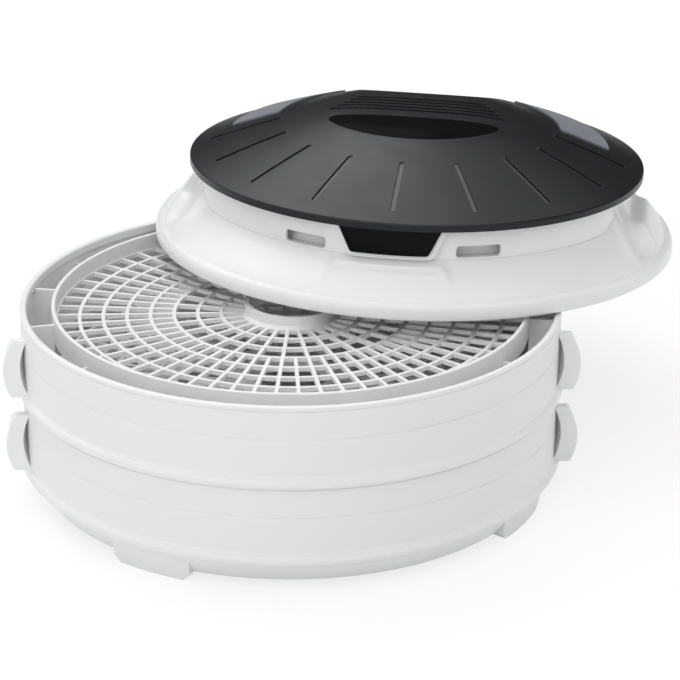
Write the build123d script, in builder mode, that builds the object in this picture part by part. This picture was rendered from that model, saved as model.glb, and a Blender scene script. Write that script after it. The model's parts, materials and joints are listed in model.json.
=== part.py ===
from build123d import *
import os
from math import atan2, cos, degrees, hypot, radians, sin, sqrt

os.makedirs("parts", exist_ok=True)

# A stacking food dehydrator: a base pan, two drying trays, and a powered head with fan and heater that
# stands askew on the upper tray, as when the tray is being filled.
# Millimetres, +Z up. The origin is on the floor, on the axis of the stack. The front faces -Y.

# Rims, seats and walls of the stack
rim_radius = 165.0
lip_width = 4.0
lip_depth = 5.0
lip_round = 1.2
lip_bead = 2.4
lip_line = 0.8
wall = 2.5
register_depth = 4.0
register_gap = 0.5
seat_clearance = 0.3

# Trays
tray_pitch = 48.0
bead_proud = 3.0
bead_height = 6.0
step_drop = 20.0
step_depth = 0.6
step_height = 1.0
ring_radius = 146.0
ring_depth = 16.0
rib_count = 16
rib_thick = 2.0
rib_depth = 24.0
low_rib_drop = 10.0
grid_drop = 9.5
bar_width = 2.2
bar_height = 2.6
inner_bars = 30
inner_zones = 3
outer_zones = 5
hub_bore = 26.0
hub_wall = 2.5
hub_drop = 2.0
hub_foot = 2.0

# Handles at the two ends of each tray
handle_reach = 173.4
handle_low_reach = 169.3
handle_top_reach = 166.5
handle_front = 43.0
handle_depth = 30.0
handle_drop = 9.0
handle_lift = 2.5
handle_corner = 2.5
scoop_width = 4.0
scoop_margin = 1.5

# Base pan
base_height = 20.0
base_band = 3.0
base_floor_radius = 155.5
foot_height = 4.5
foot_outer = 160.0
foot_width = 10.0
foot_blend = 8.0
foot_slant = 4.0
foot_span = 18.5
foot_axis = 13.1
foot_spread = 45.6

# Where the head stands: its axis is off the stack's axis, and its front is turned about its own axis
head_reach = 143.0
head_bearing = 53.8
head_turn = -11.1
head_register_depth = 2.4
baffle_rise = 1.0

# White flange of the head
flange_radius = 169.0
skirt_wall = 2.5
skirt_drop = 1.5
flange_edge = 3.5
slope_foot_radius = 164.2
slope_foot_height = 8.6
slope_swell = 0.4
collar_radius = 141.0
collar_base = 28.0
collar_top = 47.0
recess_reach = 130.0
recess_width = 76.0
recess_floor = 20.0
pad_angle = 27.0
pad_reach = 149.5
pad_top = 27.2
pad_edge = 25.8
pad_low = 22.5

# Air slots in the collar and the front badge
slot_angle = 22.0
slot_width = 28.0
slot_height = 7.4
slot_lift = 1.0
slot_round = 2.2
splash_radius = 132.5
splash_wall = 1.5
splash_half = 8.0
badge_top_width = 62.0
badge_low_width = 47.0
badge_height = 15.5
badge_corner = 2.5
badge_proud = 5.5
badge_rim = 1.6
badge_sink = 0.6
frame_width = 3.0
frame_proud = 3.5
fit_gap = 0.2

# Dark top cover
cover_radius = 147.0
cover_edge = 4.4
cover_edge_round = 1.0
cover_wall = 2.5
cover_swell = 1.2
shoulder_radius = 60.0
shoulder_height = 81.5
shoulder_round = 120.0
crown_height = 84.0
crown_flat = 20.0
back_chord = 38.5
back_fall = 16.0
louvre_count = 5
louvre_width = 3.0
louvre_pitch = 7.0
louvre_front = -10.2
louvre_reach = 56.0
louvre_taper = 3.4
groove_count = 9
groove_pitch = 21.4
groove_inner = 88.0
groove_outer = 135.5
groove_width = 3.0
groove_depth = 1.2
inlay_depth = 1.5
plate_sink = 0.5
grip_proud = 1.2
grip_outer = 124.0
grip_front = 9.0
grip_inner = 92.0
grip_back_angle = 52.0
grip_corner = 2.0
plate_radius = 63.0
plate_edge = -25.0
plate_tip = 6.0

# Air path and fasteners inside the head
baffle_wall = 2.5
inlet_radius = 26.0
guard_bar = 2.0
guard_spokes = 6
outlet_inner = 147.0
outlet_outer = 155.0
outlet_count = 12
outlet_bridge = 9.0
boss_radius = 4.5
screw_radius = 1.5
screw_head_radius = 3.2
screw_head_height = 2.0
screw_grip = 8.0
baffle_boss_circle = 151.0
baffle_boss_count = 6
shield_height = 30.0
shield_wall = 1.5
shield_radius = 130.0
shield_gap = 4.5
shield_boss_circle = 114.0
cover_boss_circle = 120.0
deck_opening = 100.0

# Motor, fan and heater
shaft_radius = 2.5
running_gap = 0.05
shaft_end = 6.5
clip_height = 1.5
clip_radius = 6.0
impeller_radius = 58.0
impeller_low = 9.0
impeller_high = 24.0
impeller_plate = 1.5
blade_count = 24
blade_inner = 34.0
blade_thick = 1.5
blade_lean = 25.0
fan_hub_radius = 8.0
mount_height = 4.0
mount_radius = 5.0
bracket_wall = 1.5
bracket_leg = 5.0
bracket_width = 15.0
core_height = 18.0
core_half_depth = 23.0
core_short = 22.0
core_long = 50.0
rotor_radius = 13.5
air_gap = 0.5
window_near = 18.0
window_far = 38.0
window_half = 13.0
coil_wall = 6.0
coil_gap = 0.3
bearing_radius = 6.0
bearing_height = 5.0
motor_screw_radius = 2.0
motor_screw_head = 3.6
motor_screw_reach = 18.5
heater_circle = 80.0
heater_tube = 3.2
heater_height = 16.0
heater_gap_angle = 24.0
heater_end_height = 40.0
clamp_count = 3
clamp_depth = 12.0
clamp_wall = 4.0
thermostat_radius = 8.5
thermostat_flange = 11.0
thermostat_height = 8.0
thermostat_place = (-70.0, 62.0)
fuse_radius = 2.0
fuse_length = 12.0
fuse_place = (-88.0, 20.0)
terminal_length = 36.0
terminal_depth = 14.0
terminal_height = 13.0
terminal_place = 92.0
wire_radius = 1.2
wire_lift = 9.0
wire_bend = 6.0
inlet_bore = 3.8
inlet_neck = 6.5
inlet_flange = 8.0
inlet_flange_wall = 3.0
inlet_height = 37.0

# Values worked out from the above
lip_inner = rim_radius - lip_width
wall_inner = rim_radius - wall
register_outer = lip_inner - register_gap
register_inner = register_outer - wall
bead_radius = rim_radius + bead_proud
ring_inner = ring_radius - wall
rib_top = tray_pitch - register_depth - register_gap
hub_radius = hub_bore + hub_wall
lower_seat = base_height
upper_seat = lower_seat + tray_pitch
stack_top = upper_seat + tray_pitch
shield_top = shield_height + shield_wall
baffle_top = baffle_rise + baffle_wall

# The head leans: its register lies on the rim where the two circles cross, and its baffle on the far rim
near_contact = (rim_radius**2 - register_inner**2 + head_reach**2) / (2 * head_reach)
head_tilt = degrees(atan2(head_register_depth + baffle_rise, rim_radius - near_contact))
head_drop = (rim_radius - head_reach) * sin(radians(head_tilt)) - baffle_rise * cos(radians(head_tilt))
lean = Axis((0, 0, 0), (-sin(radians(head_bearing)), cos(radians(head_bearing)), 0))
head_plane = Plane(
    origin=(
        head_reach * cos(radians(head_bearing)),
        head_reach * sin(radians(head_bearing)),
        stack_top + seat_clearance + head_drop,
    ),
    x_dir=Vector(cos(radians(head_turn)), sin(radians(head_turn)), 0).rotate(lean, head_tilt),
    z_dir=Vector(0, 0, 1).rotate(lean, head_tilt),
)
in_head = head_plane.location


def write(solid, name, place):
    """Set a finished piece in its place, label it and write its STEP file."""
    placed = place * solid
    placed.label = name
    export_step(placed, f"parts/{name}.step")


def polar(radius, angle):
    """The point at a radius and at an angle in degrees from +X."""
    return radius * cos(radians(angle)), radius * sin(radians(angle))


def upright_plane(angle):
    """A vertical plane through the axis, whose X runs out at the angle and whose Y runs up."""
    return Plane(origin=(0, 0, 0), x_dir=(*polar(1, angle), 0), z_dir=(*polar(1, angle - 90), 0))


# Base pan: a shallow dish on four short feet, with a rim for the lower tray
slope_run = rim_radius - base_floor_radius
slope_rise = base_height - base_band - foot_height
slope_inset = wall * hypot(slope_run, slope_rise) / slope_rise
ledge_height = base_height - register_depth - register_gap
ledge_outer = rim_radius - (base_height - base_band - ledge_height) * slope_run / slope_rise
pan_floor = foot_height + wall
pan_floor_radius = base_floor_radius + wall * slope_run / slope_rise - slope_inset
foot_blend_radius = base_floor_radius + foot_blend * slope_run / slope_rise
foot_angles = [foot_axis + side + turn for side in (-90, 90) for turn in (-foot_spread, foot_spread)]

with BuildPart() as base_pan:
    with BuildSketch(Plane.XZ) as pan_profile:
        with BuildLine():
            Polyline(
                (0, foot_height),
                (base_floor_radius, foot_height),
                (rim_radius, base_height - base_band),
                (rim_radius, base_height),
                (lip_inner, base_height),
                (lip_inner, ledge_height),
                (ledge_outer - slope_inset, ledge_height),
                (pan_floor_radius, pan_floor),
                (0, pan_floor),
                close=True,
            )
        make_face()
    revolve(axis=Axis.Z)
    for foot_angle in foot_angles:
        with BuildSketch(upright_plane(foot_angle - foot_span / 2)) as foot_profile:
            with BuildLine():
                Polyline(
                    (foot_outer - foot_width, 0),
                    (foot_outer, 0),
                    (foot_blend_radius, foot_height + foot_blend),
                    (base_floor_radius - wall / 2, foot_height + wall / 2),
                    (foot_outer - foot_width, foot_height + wall / 2),
                    close=True,
                )
            make_face()
        revolve(axis=Axis.Z, revolution_arc=foot_span)
    foot_ends = base_pan.edges().group_by(Axis.Z)[0].filter_by(GeomType.LINE)
    chamfer(foot_ends, length=foot_slant)

base_pan.part.label = "base_pan"
export_step(base_pan.part, "parts/base_pan.step")

# Tray wall: outer wall with a lip at the top, and at the bottom a bead, a seat and a register
step_height_z = tray_pitch - step_drop
with BuildPart() as tray_wall:
    with BuildSketch(Plane.XZ) as wall_profile:
        with BuildLine():
            Polyline(
                (register_inner, -register_depth),
                (register_outer, -register_depth),
                (register_outer, 0),
                (bead_radius, 0),
                (bead_radius, bead_height / 3),
            )
            ThreePointArc(
                (bead_radius, bead_height / 3),
                (bead_radius - bead_proud / 4, bead_height * 0.6),
                (rim_radius + bead_proud / 4, bead_height * 0.75),
            )
            Polyline(
                (rim_radius + bead_proud / 4, bead_height * 0.75),
                (rim_radius, bead_height),
                (rim_radius, step_height_z - step_height),
                (rim_radius - step_depth, step_height_z),
                (rim_radius, step_height_z + step_height / 4),
                (rim_radius, tray_pitch - lip_bead - lip_line),
                (rim_radius - step_depth, tray_pitch - lip_bead - lip_line / 2),
                (rim_radius, tray_pitch - lip_bead),
                (rim_radius, tray_pitch),
                (lip_inner, tray_pitch),
                (lip_inner, tray_pitch - lip_depth),
                (wall_inner, tray_pitch - lip_depth - wall),
                (wall_inner, wall + lip_width),
                (register_inner, wall),
                (register_inner, -register_depth),
            )
        make_face()
    revolve(axis=Axis.Z)
    fillet(tray_wall.edges().group_by(Axis.Z)[-1], radius=lip_round)

# Tray handles: an ear at each end with a flat front, scooped where it leaves the wall, that falls away behind
handle_top = tray_pitch - handle_drop
handle_height = handle_top - handle_lift
wall_at_front = sqrt(rim_radius**2 - handle_front**2)
scoop_half = handle_height / 2 - scoop_margin
scoop_radius = (scoop_half**2 + scoop_width**2) / (2 * scoop_width)
with BuildPart() as handle_blank:
    with BuildSketch(Plane.XZ.offset(handle_front - handle_depth)) as handle_profile:
        with BuildLine():
            Line((0, handle_lift), (handle_low_reach, handle_lift))
            ThreePointArc(
                (handle_low_reach, handle_lift),
                (handle_reach, handle_lift + handle_height / 2),
                (handle_top_reach, handle_top),
            )
            Polyline((handle_top_reach, handle_top), (0, handle_top), (0, handle_lift))
        make_face()
        fillet(handle_profile.vertices().sort_by(Axis.X)[-2:], radius=handle_corner)
    extrude(amount=handle_depth)
    with BuildSketch(Plane.YZ) as handle_back:
        with Locations((-handle_front, handle_lift)):
            Ellipse(handle_depth, handle_height)
    extrude(amount=handle_reach, mode=Mode.INTERSECT)
    scoop_place = (wall_at_front + scoop_width - scoop_radius, -handle_front, handle_lift + handle_height / 2)
    with Locations(scoop_place):
        Sphere(scoop_radius, mode=Mode.SUBTRACT)
    with BuildSketch(Plane.XZ) as wall_plug:
        with BuildLine():
            Polyline(
                (0, 0),
                (bead_radius, 0),
                (bead_radius, bead_height / 3),
            )
            ThreePointArc(
                (bead_radius, bead_height / 3),
                (bead_radius - bead_proud / 4, bead_height * 0.6),
                (rim_radius + bead_proud / 4, bead_height * 0.75),
            )
            Polyline(
                (rim_radius + bead_proud / 4, bead_height * 0.75),
                (rim_radius, bead_height),
                (rim_radius, tray_pitch),
                (0, tray_pitch),
                (0, 0),
            )
        make_face()
    revolve(axis=Axis.Z, mode=Mode.SUBTRACT)

with BuildPart() as tray_handles:
    add(handle_blank.part)
    mirror(about=Plane.YZ)

# Tray ring: the upright ring round the drying floor
with BuildPart() as tray_ring:
    with BuildSketch(Plane.XY.offset(tray_pitch - ring_depth)) as ring_face:
        Circle(ring_radius)
        Circle(ring_inner, mode=Mode.SUBTRACT)
    extrude(amount=ring_depth)
    fillet(tray_ring.edges().group_by(Axis.Z)[-1], radius=wall / 4)

# Tray ribs: they hold the ring to the wall across the air channel, high near the handles and low elsewhere
rib_low = rib_top - rib_depth
rib_step = tray_pitch - lip_depth - wall
rib_length = wall_inner - ring_radius + wall
rib_pitch = 360 / rib_count
rib_angles = [rib_pitch * (number + 0.5) for number in range(rib_count)]
high_ribs = [angle for angle in rib_angles if abs(cos(radians(angle))) > cos(radians(rib_pitch))]
low_ribs = [angle for angle in rib_angles if angle not in high_ribs]
with BuildPart() as tray_ribs:
    for low, high, reach, angles in (
        (rib_low, rib_step, wall_inner, high_ribs),
        (rib_step, rib_top, lip_inner, high_ribs),
        (rib_low, tray_pitch - low_rib_drop, wall_inner, low_ribs),
    ):
        with BuildSketch(Plane.XY.offset(low)) as rib_faces:
            rib_middle = ring_radius + rib_length / 2
            with Locations(*[Location((*polar(rib_middle, a), 0), (0, 0, a)) for a in angles]):
                Rectangle(rib_length + wall, rib_thick)
            Circle(reach, mode=Mode.INTERSECT)
            Circle(ring_radius, mode=Mode.SUBTRACT)
        extrude(amount=high - low)

# Tray grid: radial bars and rings round a hub collar that lets the air rise through the middle
ring_step = (ring_inner - hub_radius) / (inner_zones + outer_zones)
zone_radius = hub_radius + inner_zones * ring_step
with BuildPart() as tray_grid:
    with BuildSketch(Plane.XY.offset(tray_pitch - grid_drop - bar_height)) as grid_face:
        with PolarLocations((zone_radius + ring_inner) / 2, 2 * inner_bars):
            Rectangle(ring_inner - zone_radius + bar_width, bar_width)
        with PolarLocations((hub_radius + zone_radius) / 2, inner_bars):
            Rectangle(zone_radius - hub_radius + bar_width, bar_width)
        for ring_number in range(inner_zones + outer_zones + 1):
            mid_radius = hub_radius + ring_number * ring_step
            with BuildSketch(mode=Mode.PRIVATE) as hoop:
                Circle(mid_radius + bar_width / 2)
                Circle(mid_radius - bar_width / 2, mode=Mode.SUBTRACT)
            add(hoop.sketch)
        Circle(ring_inner, mode=Mode.INTERSECT)
        Circle(hub_bore, mode=Mode.SUBTRACT)
    extrude(amount=bar_height)
    with BuildSketch(Plane.XZ) as hub_profile:
        with BuildLine():
            Polyline(
                (hub_bore, tray_pitch - grid_drop - bar_height),
                (hub_radius + hub_foot, tray_pitch - grid_drop - bar_height),
                (hub_radius + hub_foot, tray_pitch - grid_drop),
                (hub_radius, tray_pitch - grid_drop + hub_foot),
                (hub_radius, tray_pitch - hub_drop),
                (hub_bore, tray_pitch - hub_drop),
                close=True,
            )
        make_face()
    revolve(axis=Axis.Z)

for tray_name, tray_seat in (("lower_tray", lower_seat), ("upper_tray", upper_seat)):
    tray_place = Location((0, 0, tray_seat))
    write(tray_wall.part, f"{tray_name}_wall", tray_place)
    write(tray_handles.part, f"{tray_name}_handles", tray_place)
    write(tray_ring.part, f"{tray_name}_ring", tray_place)
    write(tray_ribs.part, f"{tray_name}_ribs", tray_place)
    write(tray_grid.part, f"{tray_name}_grid", tray_place)

# The pieces of the head are modelled upright on the head's own axis, with its seat at height 0, and then set
# down together in their place on the upper tray.

# Cover flange: the white skirt, with a register under it, finger recesses at both sides and a pad in front
slope_middle = (
    (slope_foot_radius + collar_radius) / 2 + slope_swell,
    (slope_foot_height + collar_base) / 2 + slope_swell,
)
boss_angles = [360 / baffle_boss_count * (number + 0.5) for number in range(baffle_boss_count)]


def slope_line(inset):
    """The sloping top of the flange, or the same line set in by a wall."""
    return ThreePointArc(
        (slope_foot_radius - inset, slope_foot_height - inset),
        (slope_middle[0] - inset, slope_middle[1] - inset),
        (collar_radius - inset, collar_base - inset),
    )


with BuildPart() as under_slope:
    with BuildSketch(Plane.XZ) as under_profile:
        with BuildLine():
            slope_line(0)
            Polyline(
                (collar_radius, collar_base),
                (0, collar_base),
                (0, 0),
                (slope_foot_radius, 0),
                (slope_foot_radius, slope_foot_height),
            )
        make_face()
    revolve(axis=Axis.Z)

with BuildPart() as recess_tubs:
    for side in (-1, 1):
        tub_length = flange_radius - recess_reach + wall
        with Locations((side * (recess_reach - wall + tub_length / 2), 0, recess_floor - wall)):
            Box(
                tub_length,
                recess_width + 2 * wall,
                collar_base - recess_floor + wall,
                align=(Align.CENTER, Align.CENTER, Align.MIN),
            )
        chord_half = sqrt(collar_radius**2 - recess_reach**2)
        with Locations((side * (recess_reach - wall / 2), 0, collar_base - wall)):
            Box(wall, 2 * chord_half, wall, align=(Align.CENTER, Align.CENTER, Align.MIN))
    add(under_slope.part, mode=Mode.INTERSECT)

with BuildPart() as flange_bosses:
    for boss_angle in boss_angles:
        with Locations((*polar(baffle_boss_circle, boss_angle), baffle_top)):
            Cylinder(boss_radius, collar_base, align=(Align.CENTER, Align.CENTER, Align.MIN))
    add(under_slope.part, mode=Mode.INTERSECT)

with BuildPart() as cover_flange:
    with BuildSketch(Plane.XZ) as flange_profile:
        with BuildLine():
            Polyline(
                (register_inner, -head_register_depth),
                (register_outer, -head_register_depth),
                (register_outer, 0),
                (flange_radius - skirt_wall, 0),
                (flange_radius - skirt_wall, -skirt_drop),
                (flange_radius, -skirt_drop),
                (flange_radius, flange_edge),
            )
            ThreePointArc(
                (flange_radius, flange_edge),
                (flange_radius - 0.25 * flange_edge, 1.8 * flange_edge),
                (slope_foot_radius + 0.3 * flange_edge, slope_foot_height - 0.3 * flange_edge),
            )
            Line(
                (slope_foot_radius + 0.3 * flange_edge, slope_foot_height - 0.3 * flange_edge),
                (slope_foot_radius, slope_foot_height),
            )
            slope_line(0)
            Polyline(
                (collar_radius, collar_base),
                (collar_radius - wall, collar_base),
                (collar_radius - wall, collar_base - wall),
            )
            slope_line(wall)
            Polyline(
                (slope_foot_radius - wall, slope_foot_height - wall),
                (slope_foot_radius - wall, wall),
                (register_inner, wall),
                (register_inner, -head_register_depth),
            )
        make_face()
    revolve(axis=Axis.Z)
    add(recess_tubs.part)
    add(flange_bosses.part)
    for side in (-1, 1):
        with Locations((side * recess_reach, 0, recess_floor)):
            Box(
                2 * (flange_radius - recess_reach),
                recess_width,
                collar_top,
                align=(Align.MIN if side > 0 else Align.MAX, Align.CENTER, Align.MIN),
                mode=Mode.SUBTRACT,
            )
    with BuildSketch(upright_plane(-90 - pad_angle / 2)) as pad_profile:
        with BuildLine():
            Polyline(
                (collar_radius - wall / 2, collar_base - wall),
                (pad_reach - wall / 2, pad_low - wall / 2),
                (pad_reach, pad_low),
                (pad_reach, pad_edge),
                (collar_radius, pad_top),
                (collar_radius - wall / 2, pad_top),
                close=True,
            )
        make_face()
    revolve(axis=Axis.Z, revolution_arc=pad_angle)
    for boss_angle in boss_angles:
        with Locations((*polar(baffle_boss_circle, boss_angle), baffle_top)):
            Cylinder(
                screw_radius + running_gap,
                screw_grip,
                align=(Align.CENTER, Align.CENTER, Align.MIN),
                mode=Mode.SUBTRACT,
            )

write(cover_flange.part, "cover_flange", in_head)


# Collar housing: the white wall between flange and top cover, with a deck that carries the cover
def flattened_disc(radius, half_width):
    """A disc with its two sides cut flat, as the finger recesses need."""
    with BuildSketch() as disc:
        Circle(radius)
        Rectangle(2 * half_width, 2 * radius, mode=Mode.INTERSECT)
    return disc.sketch


def badge_block(inner, outer, grow):
    """A curved trapezoid at the front of the collar, grown all round by a clearance."""
    with BuildPart() as block:
        with BuildSketch(Plane.XY.offset(collar_top - badge_height - grow)):
            Circle(outer)
            Circle(inner, mode=Mode.SUBTRACT)
        extrude(amount=badge_height + grow)
        with BuildSketch(Plane.XZ):
            with BuildLine():
                Polyline(
                    (-badge_low_width / 2 - grow, collar_top - badge_height - grow),
                    (badge_low_width / 2 + grow, collar_top - badge_height - grow),
                    (badge_top_width / 2 + grow, collar_top),
                    (-badge_top_width / 2 - grow, collar_top),
                    close=True,
                )
            outline = make_face()
            fillet(outline.vertices().sort_by(Axis.Y)[:2], radius=badge_corner + grow)
        extrude(amount=2 * collar_radius, mode=Mode.INTERSECT)
    return block.part


def splash_arc(middle):
    """A short wall that hangs from the deck close behind an air slot."""
    with BuildPart() as arc:
        with BuildSketch(upright_plane(middle - splash_half)):
            with Locations((splash_radius, collar_base + fit_gap)):
                Rectangle(splash_wall, collar_top - wall - collar_base, align=(Align.MAX, Align.MIN))
        revolve(axis=Axis.Z, revolution_arc=2 * splash_half)
    return arc.part


collar_inner = collar_radius - wall
shield_boss_angles = [0, 90, 180, 270]
cover_boss_angles = [45, 135, 225, 315]

with BuildPart() as collar_housing:
    with BuildSketch(Plane.XY.offset(collar_base)) as collar_face:
        add(flattened_disc(collar_radius, recess_reach))
        add(flattened_disc(collar_inner, recess_reach - wall), mode=Mode.SUBTRACT)
    extrude(amount=collar_top - collar_base)
    with BuildSketch(Plane.XY.offset(collar_top - wall)) as deck_face:
        add(flattened_disc(collar_radius, recess_reach))
        Circle(deck_opening, mode=Mode.SUBTRACT)
        for boss_angle in cover_boss_angles:
            with Locations(polar(cover_boss_circle, boss_angle)):
                Circle(screw_radius + fit_gap, mode=Mode.SUBTRACT)
    extrude(amount=wall)
    with BuildSketch(Plane.XY.offset(shield_top)) as boss_face:
        for boss_angle in shield_boss_angles:
            with Locations(polar(shield_boss_circle, boss_angle)):
                Circle(boss_radius)
    extrude(amount=collar_top - wall - shield_top)
    for boss_angle in shield_boss_angles:
        with Locations((*polar(shield_boss_circle, boss_angle), shield_top)):
            Cylinder(
                screw_radius + running_gap,
                screw_grip,
                align=(Align.CENTER, Align.CENTER, Align.MIN),
                mode=Mode.SUBTRACT,
            )
    for slot_side in (-90, 90):
        for turn in (-slot_angle, slot_angle):
            slot_place = Plane(
                origin=(*polar(collar_radius, slot_side + turn), collar_base + slot_lift + slot_height / 2),
                x_dir=(*polar(1, slot_side + turn + 90), 0),
                z_dir=(*polar(1, slot_side + turn), 0),
            )
            with BuildSketch(slot_place) as slot_face:
                RectangleRounded(slot_width, slot_height, slot_round)
            extrude(amount=3 * wall, both=True, mode=Mode.SUBTRACT)
            add(splash_arc(slot_side + turn))
    add(badge_block(collar_inner, collar_radius + frame_proud, frame_width))
    add(badge_block(collar_inner - fit_gap, cover_radius, fit_gap), mode=Mode.SUBTRACT)
    with BuildSketch(Plane.XZ.offset(-collar_radius - wall)) as inlet_hole:
        with Locations((0, inlet_height)):
            Circle(inlet_neck + fit_gap)
    extrude(amount=4 * wall, mode=Mode.SUBTRACT)

write(collar_housing.part, "collar_housing", in_head)

# Front badge: a bare dark plate with a raised rim, in the notch of the collar
badge_face_radius = collar_radius + badge_proud
with BuildPart() as front_badge:
    add(badge_block(collar_inner, badge_face_radius, 0))
    with BuildSketch(Plane.XZ.offset(collar_inner - wall)) as badge_field:
        with BuildLine():
            Polyline(
                (-badge_low_width / 2 + badge_rim, collar_top - badge_height + badge_rim),
                (badge_low_width / 2 - badge_rim, collar_top - badge_height + badge_rim),
                (badge_top_width / 2 - 1.5 * badge_rim, collar_top - badge_rim),
                (1.5 * badge_rim - badge_top_width / 2, collar_top - badge_rim),
                close=True,
            )
        field_face = make_face()
        fillet(field_face.vertices().sort_by(Axis.Y)[:2], radius=badge_corner - badge_rim)
    with BuildSketch(Plane.XY.offset(collar_top - badge_height), mode=Mode.PRIVATE) as field_ring:
        Circle(cover_radius)
        Circle(badge_face_radius - badge_sink, mode=Mode.SUBTRACT)
    field_cut = extrude(badge_field.sketch, amount=6 * wall, mode=Mode.PRIVATE)
    field_shell = extrude(field_ring.sketch, amount=badge_height, mode=Mode.PRIVATE)
    add(field_cut & field_shell, mode=Mode.SUBTRACT)

write(front_badge.part, "front_badge", in_head)


# Top cover: the dark dome, with vent louvres, a name plate recess, radial grooves and recesses for the grips
def cover_solid(drop, inset):
    """The filled dome, lowered by drop and set in at its edge, with the flat that falls away at the back."""
    edge = cover_radius - inset
    edge_height = max(cover_edge - drop, fit_gap)
    with BuildPart() as dome:
        with BuildSketch(Plane.XZ) as dome_profile:
            with BuildLine():
                Polyline(
                    (0, crown_height - drop),
                    (0, collar_top),
                    (edge, collar_top),
                    (edge, collar_top + edge_height),
                )
                ThreePointArc(
                    (edge, collar_top + edge_height),
                    (
                        (edge + shoulder_radius) / 2,
                        (collar_top + cover_edge + shoulder_height) / 2 + cover_swell - drop,
                    ),
                    (shoulder_radius, shoulder_height - drop),
                )
                ThreePointArc(
                    (shoulder_radius, shoulder_height - drop),
                    (
                        (shoulder_radius + crown_flat) / 2,
                        crown_height - (crown_height - shoulder_height) / 4 - drop,
                    ),
                    (crown_flat, crown_height - drop),
                )
                Line((crown_flat, crown_height - drop), (0, crown_height - drop))
            make_face()
            shoulder = Vector(shoulder_radius, shoulder_height - drop)
            fillet(dome_profile.vertices().sort_by_distance(shoulder)[0], radius=shoulder_round)
        revolve(axis=Axis.Z)
        back_plane = Plane(
            origin=(0, back_chord, shoulder_height + (crown_height - shoulder_height) / 2 - drop),
            x_dir=(1, 0, 0),
            z_dir=(0, sin(radians(back_fall)), cos(radians(back_fall))),
        )
        split(bisect_by=back_plane, keep=Keep.BOTTOM)
    return dome.part


def plate_outline(gap):
    """The front cap of a disc, with rounded tips, grown by a clearance."""
    with BuildSketch() as outline:
        Circle(plate_radius + gap)
        with Locations((0, plate_edge + gap)):
            Rectangle(
                3 * plate_radius,
                2 * plate_radius,
                align=(Align.CENTER, Align.MAX),
                mode=Mode.INTERSECT,
            )
        fillet(outline.vertices(), radius=plate_tip)
    return outline.sketch


def grip_outline(gap):
    """The right-hand grip, a band round the slope from a straight front edge, grown by a clearance."""
    front_inner = (sqrt(grip_inner**2 - grip_front**2), grip_front)
    front_outer = (sqrt(grip_outer**2 - grip_front**2), grip_front)
    with BuildSketch() as outline:
        with BuildLine():
            Line(front_inner, front_outer)
            ThreePointArc(
                front_outer,
                polar(grip_outer, grip_back_angle / 2),
                polar(grip_outer, grip_back_angle),
            )
            Line(polar(grip_outer, grip_back_angle), polar(grip_inner, grip_back_angle))
            ThreePointArc(
                polar(grip_inner, grip_back_angle),
                polar(grip_inner, grip_back_angle / 2),
                front_inner,
            )
        make_face()
        fillet(outline.vertices(), radius=grip_corner)
        if gap > 0:
            offset(amount=gap)
    return outline.sketch


def inlay(outline, high, low):
    """A piece of the dome's skin under an outline, between two depths below the dome's surface."""
    with BuildPart() as skin:
        add(cover_solid(high, 0))
        add(cover_solid(low, 0), mode=Mode.SUBTRACT)
        with BuildSketch(Plane.XY.offset(collar_top)) as prism_face:
            add(outline)
        extrude(amount=crown_height, mode=Mode.INTERSECT)
    return skin.part


with BuildSketch() as groove_outlines:
    groove_length = groove_outer - groove_inner
    groove_middle = (groove_inner + groove_outer) / 2
    groove_range = groove_pitch * (groove_count - 1)
    groove_start = -90 - groove_range / 2
    with PolarLocations(groove_middle, groove_count, groove_start, groove_range, endpoint=True):
        SlotOverall(groove_length, groove_width)

with BuildSketch() as louvre_outlines:
    for louvre_number in range(louvre_count):
        louvre_half = louvre_reach - louvre_taper * louvre_number
        with Locations((0, louvre_front + louvre_pitch * louvre_number)):
            Rectangle(2 * louvre_half, louvre_width)

with BuildPart() as cover_bosses:
    with BuildSketch(Plane.XY.offset(collar_top)) as cover_boss_face:
        for boss_angle in cover_boss_angles:
            with Locations(polar(cover_boss_circle, boss_angle)):
                Circle(boss_radius)
    extrude(amount=crown_height)
    add(cover_solid(cover_wall - fit_gap, cover_wall), mode=Mode.INTERSECT)

with BuildPart() as top_cover:
    add(cover_solid(0, 0))
    round_edges = top_cover.edges().filter_by(GeomType.CIRCLE)
    rim_edges = round_edges.filter_by(lambda edge: abs(edge.radius - cover_radius) < fit_gap)
    fillet(rim_edges.sort_by(Axis.Z)[-1], radius=cover_edge_round)
    add(cover_solid(cover_wall, cover_wall), mode=Mode.SUBTRACT)
    add(cover_bosses.part)
    add(inlay(groove_outlines.sketch, -1, groove_depth), mode=Mode.SUBTRACT)
    add(inlay(plate_outline(fit_gap), -1, inlay_depth), mode=Mode.SUBTRACT)
    grip_recess = inlay(grip_outline(fit_gap), -1, inlay_depth)
    add(grip_recess, mode=Mode.SUBTRACT)
    add(grip_recess.mirror(Plane.YZ), mode=Mode.SUBTRACT)
    with BuildSketch(Plane.XY.offset(collar_top)) as louvre_face:
        add(louvre_outlines.sketch)
    extrude(amount=crown_height, mode=Mode.SUBTRACT)
    for boss_angle in cover_boss_angles:
        with Locations((*polar(cover_boss_circle, boss_angle), collar_top)):
            Cylinder(
                screw_radius + running_gap,
                screw_grip,
                align=(Align.CENTER, Align.CENTER, Align.MIN),
                mode=Mode.SUBTRACT,
            )

write(top_cover.part, "top_cover", in_head)

# Name plate: a bare glossy cap of a disc, sunk a little in its recess
with BuildPart() as nameplate:
    add(inlay(plate_outline(0), plate_sink, inlay_depth))

write(nameplate.part, "nameplate", in_head)

# Grips: two soft bands let into the cover and a little proud of it, where the hands lift the head
with BuildPart() as right_grip:
    add(inlay(grip_outline(0), -grip_proud, inlay_depth))

with BuildPart() as left_grip:
    add(right_grip.part)
    mirror(about=Plane.YZ, mode=Mode.REPLACE)

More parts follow.
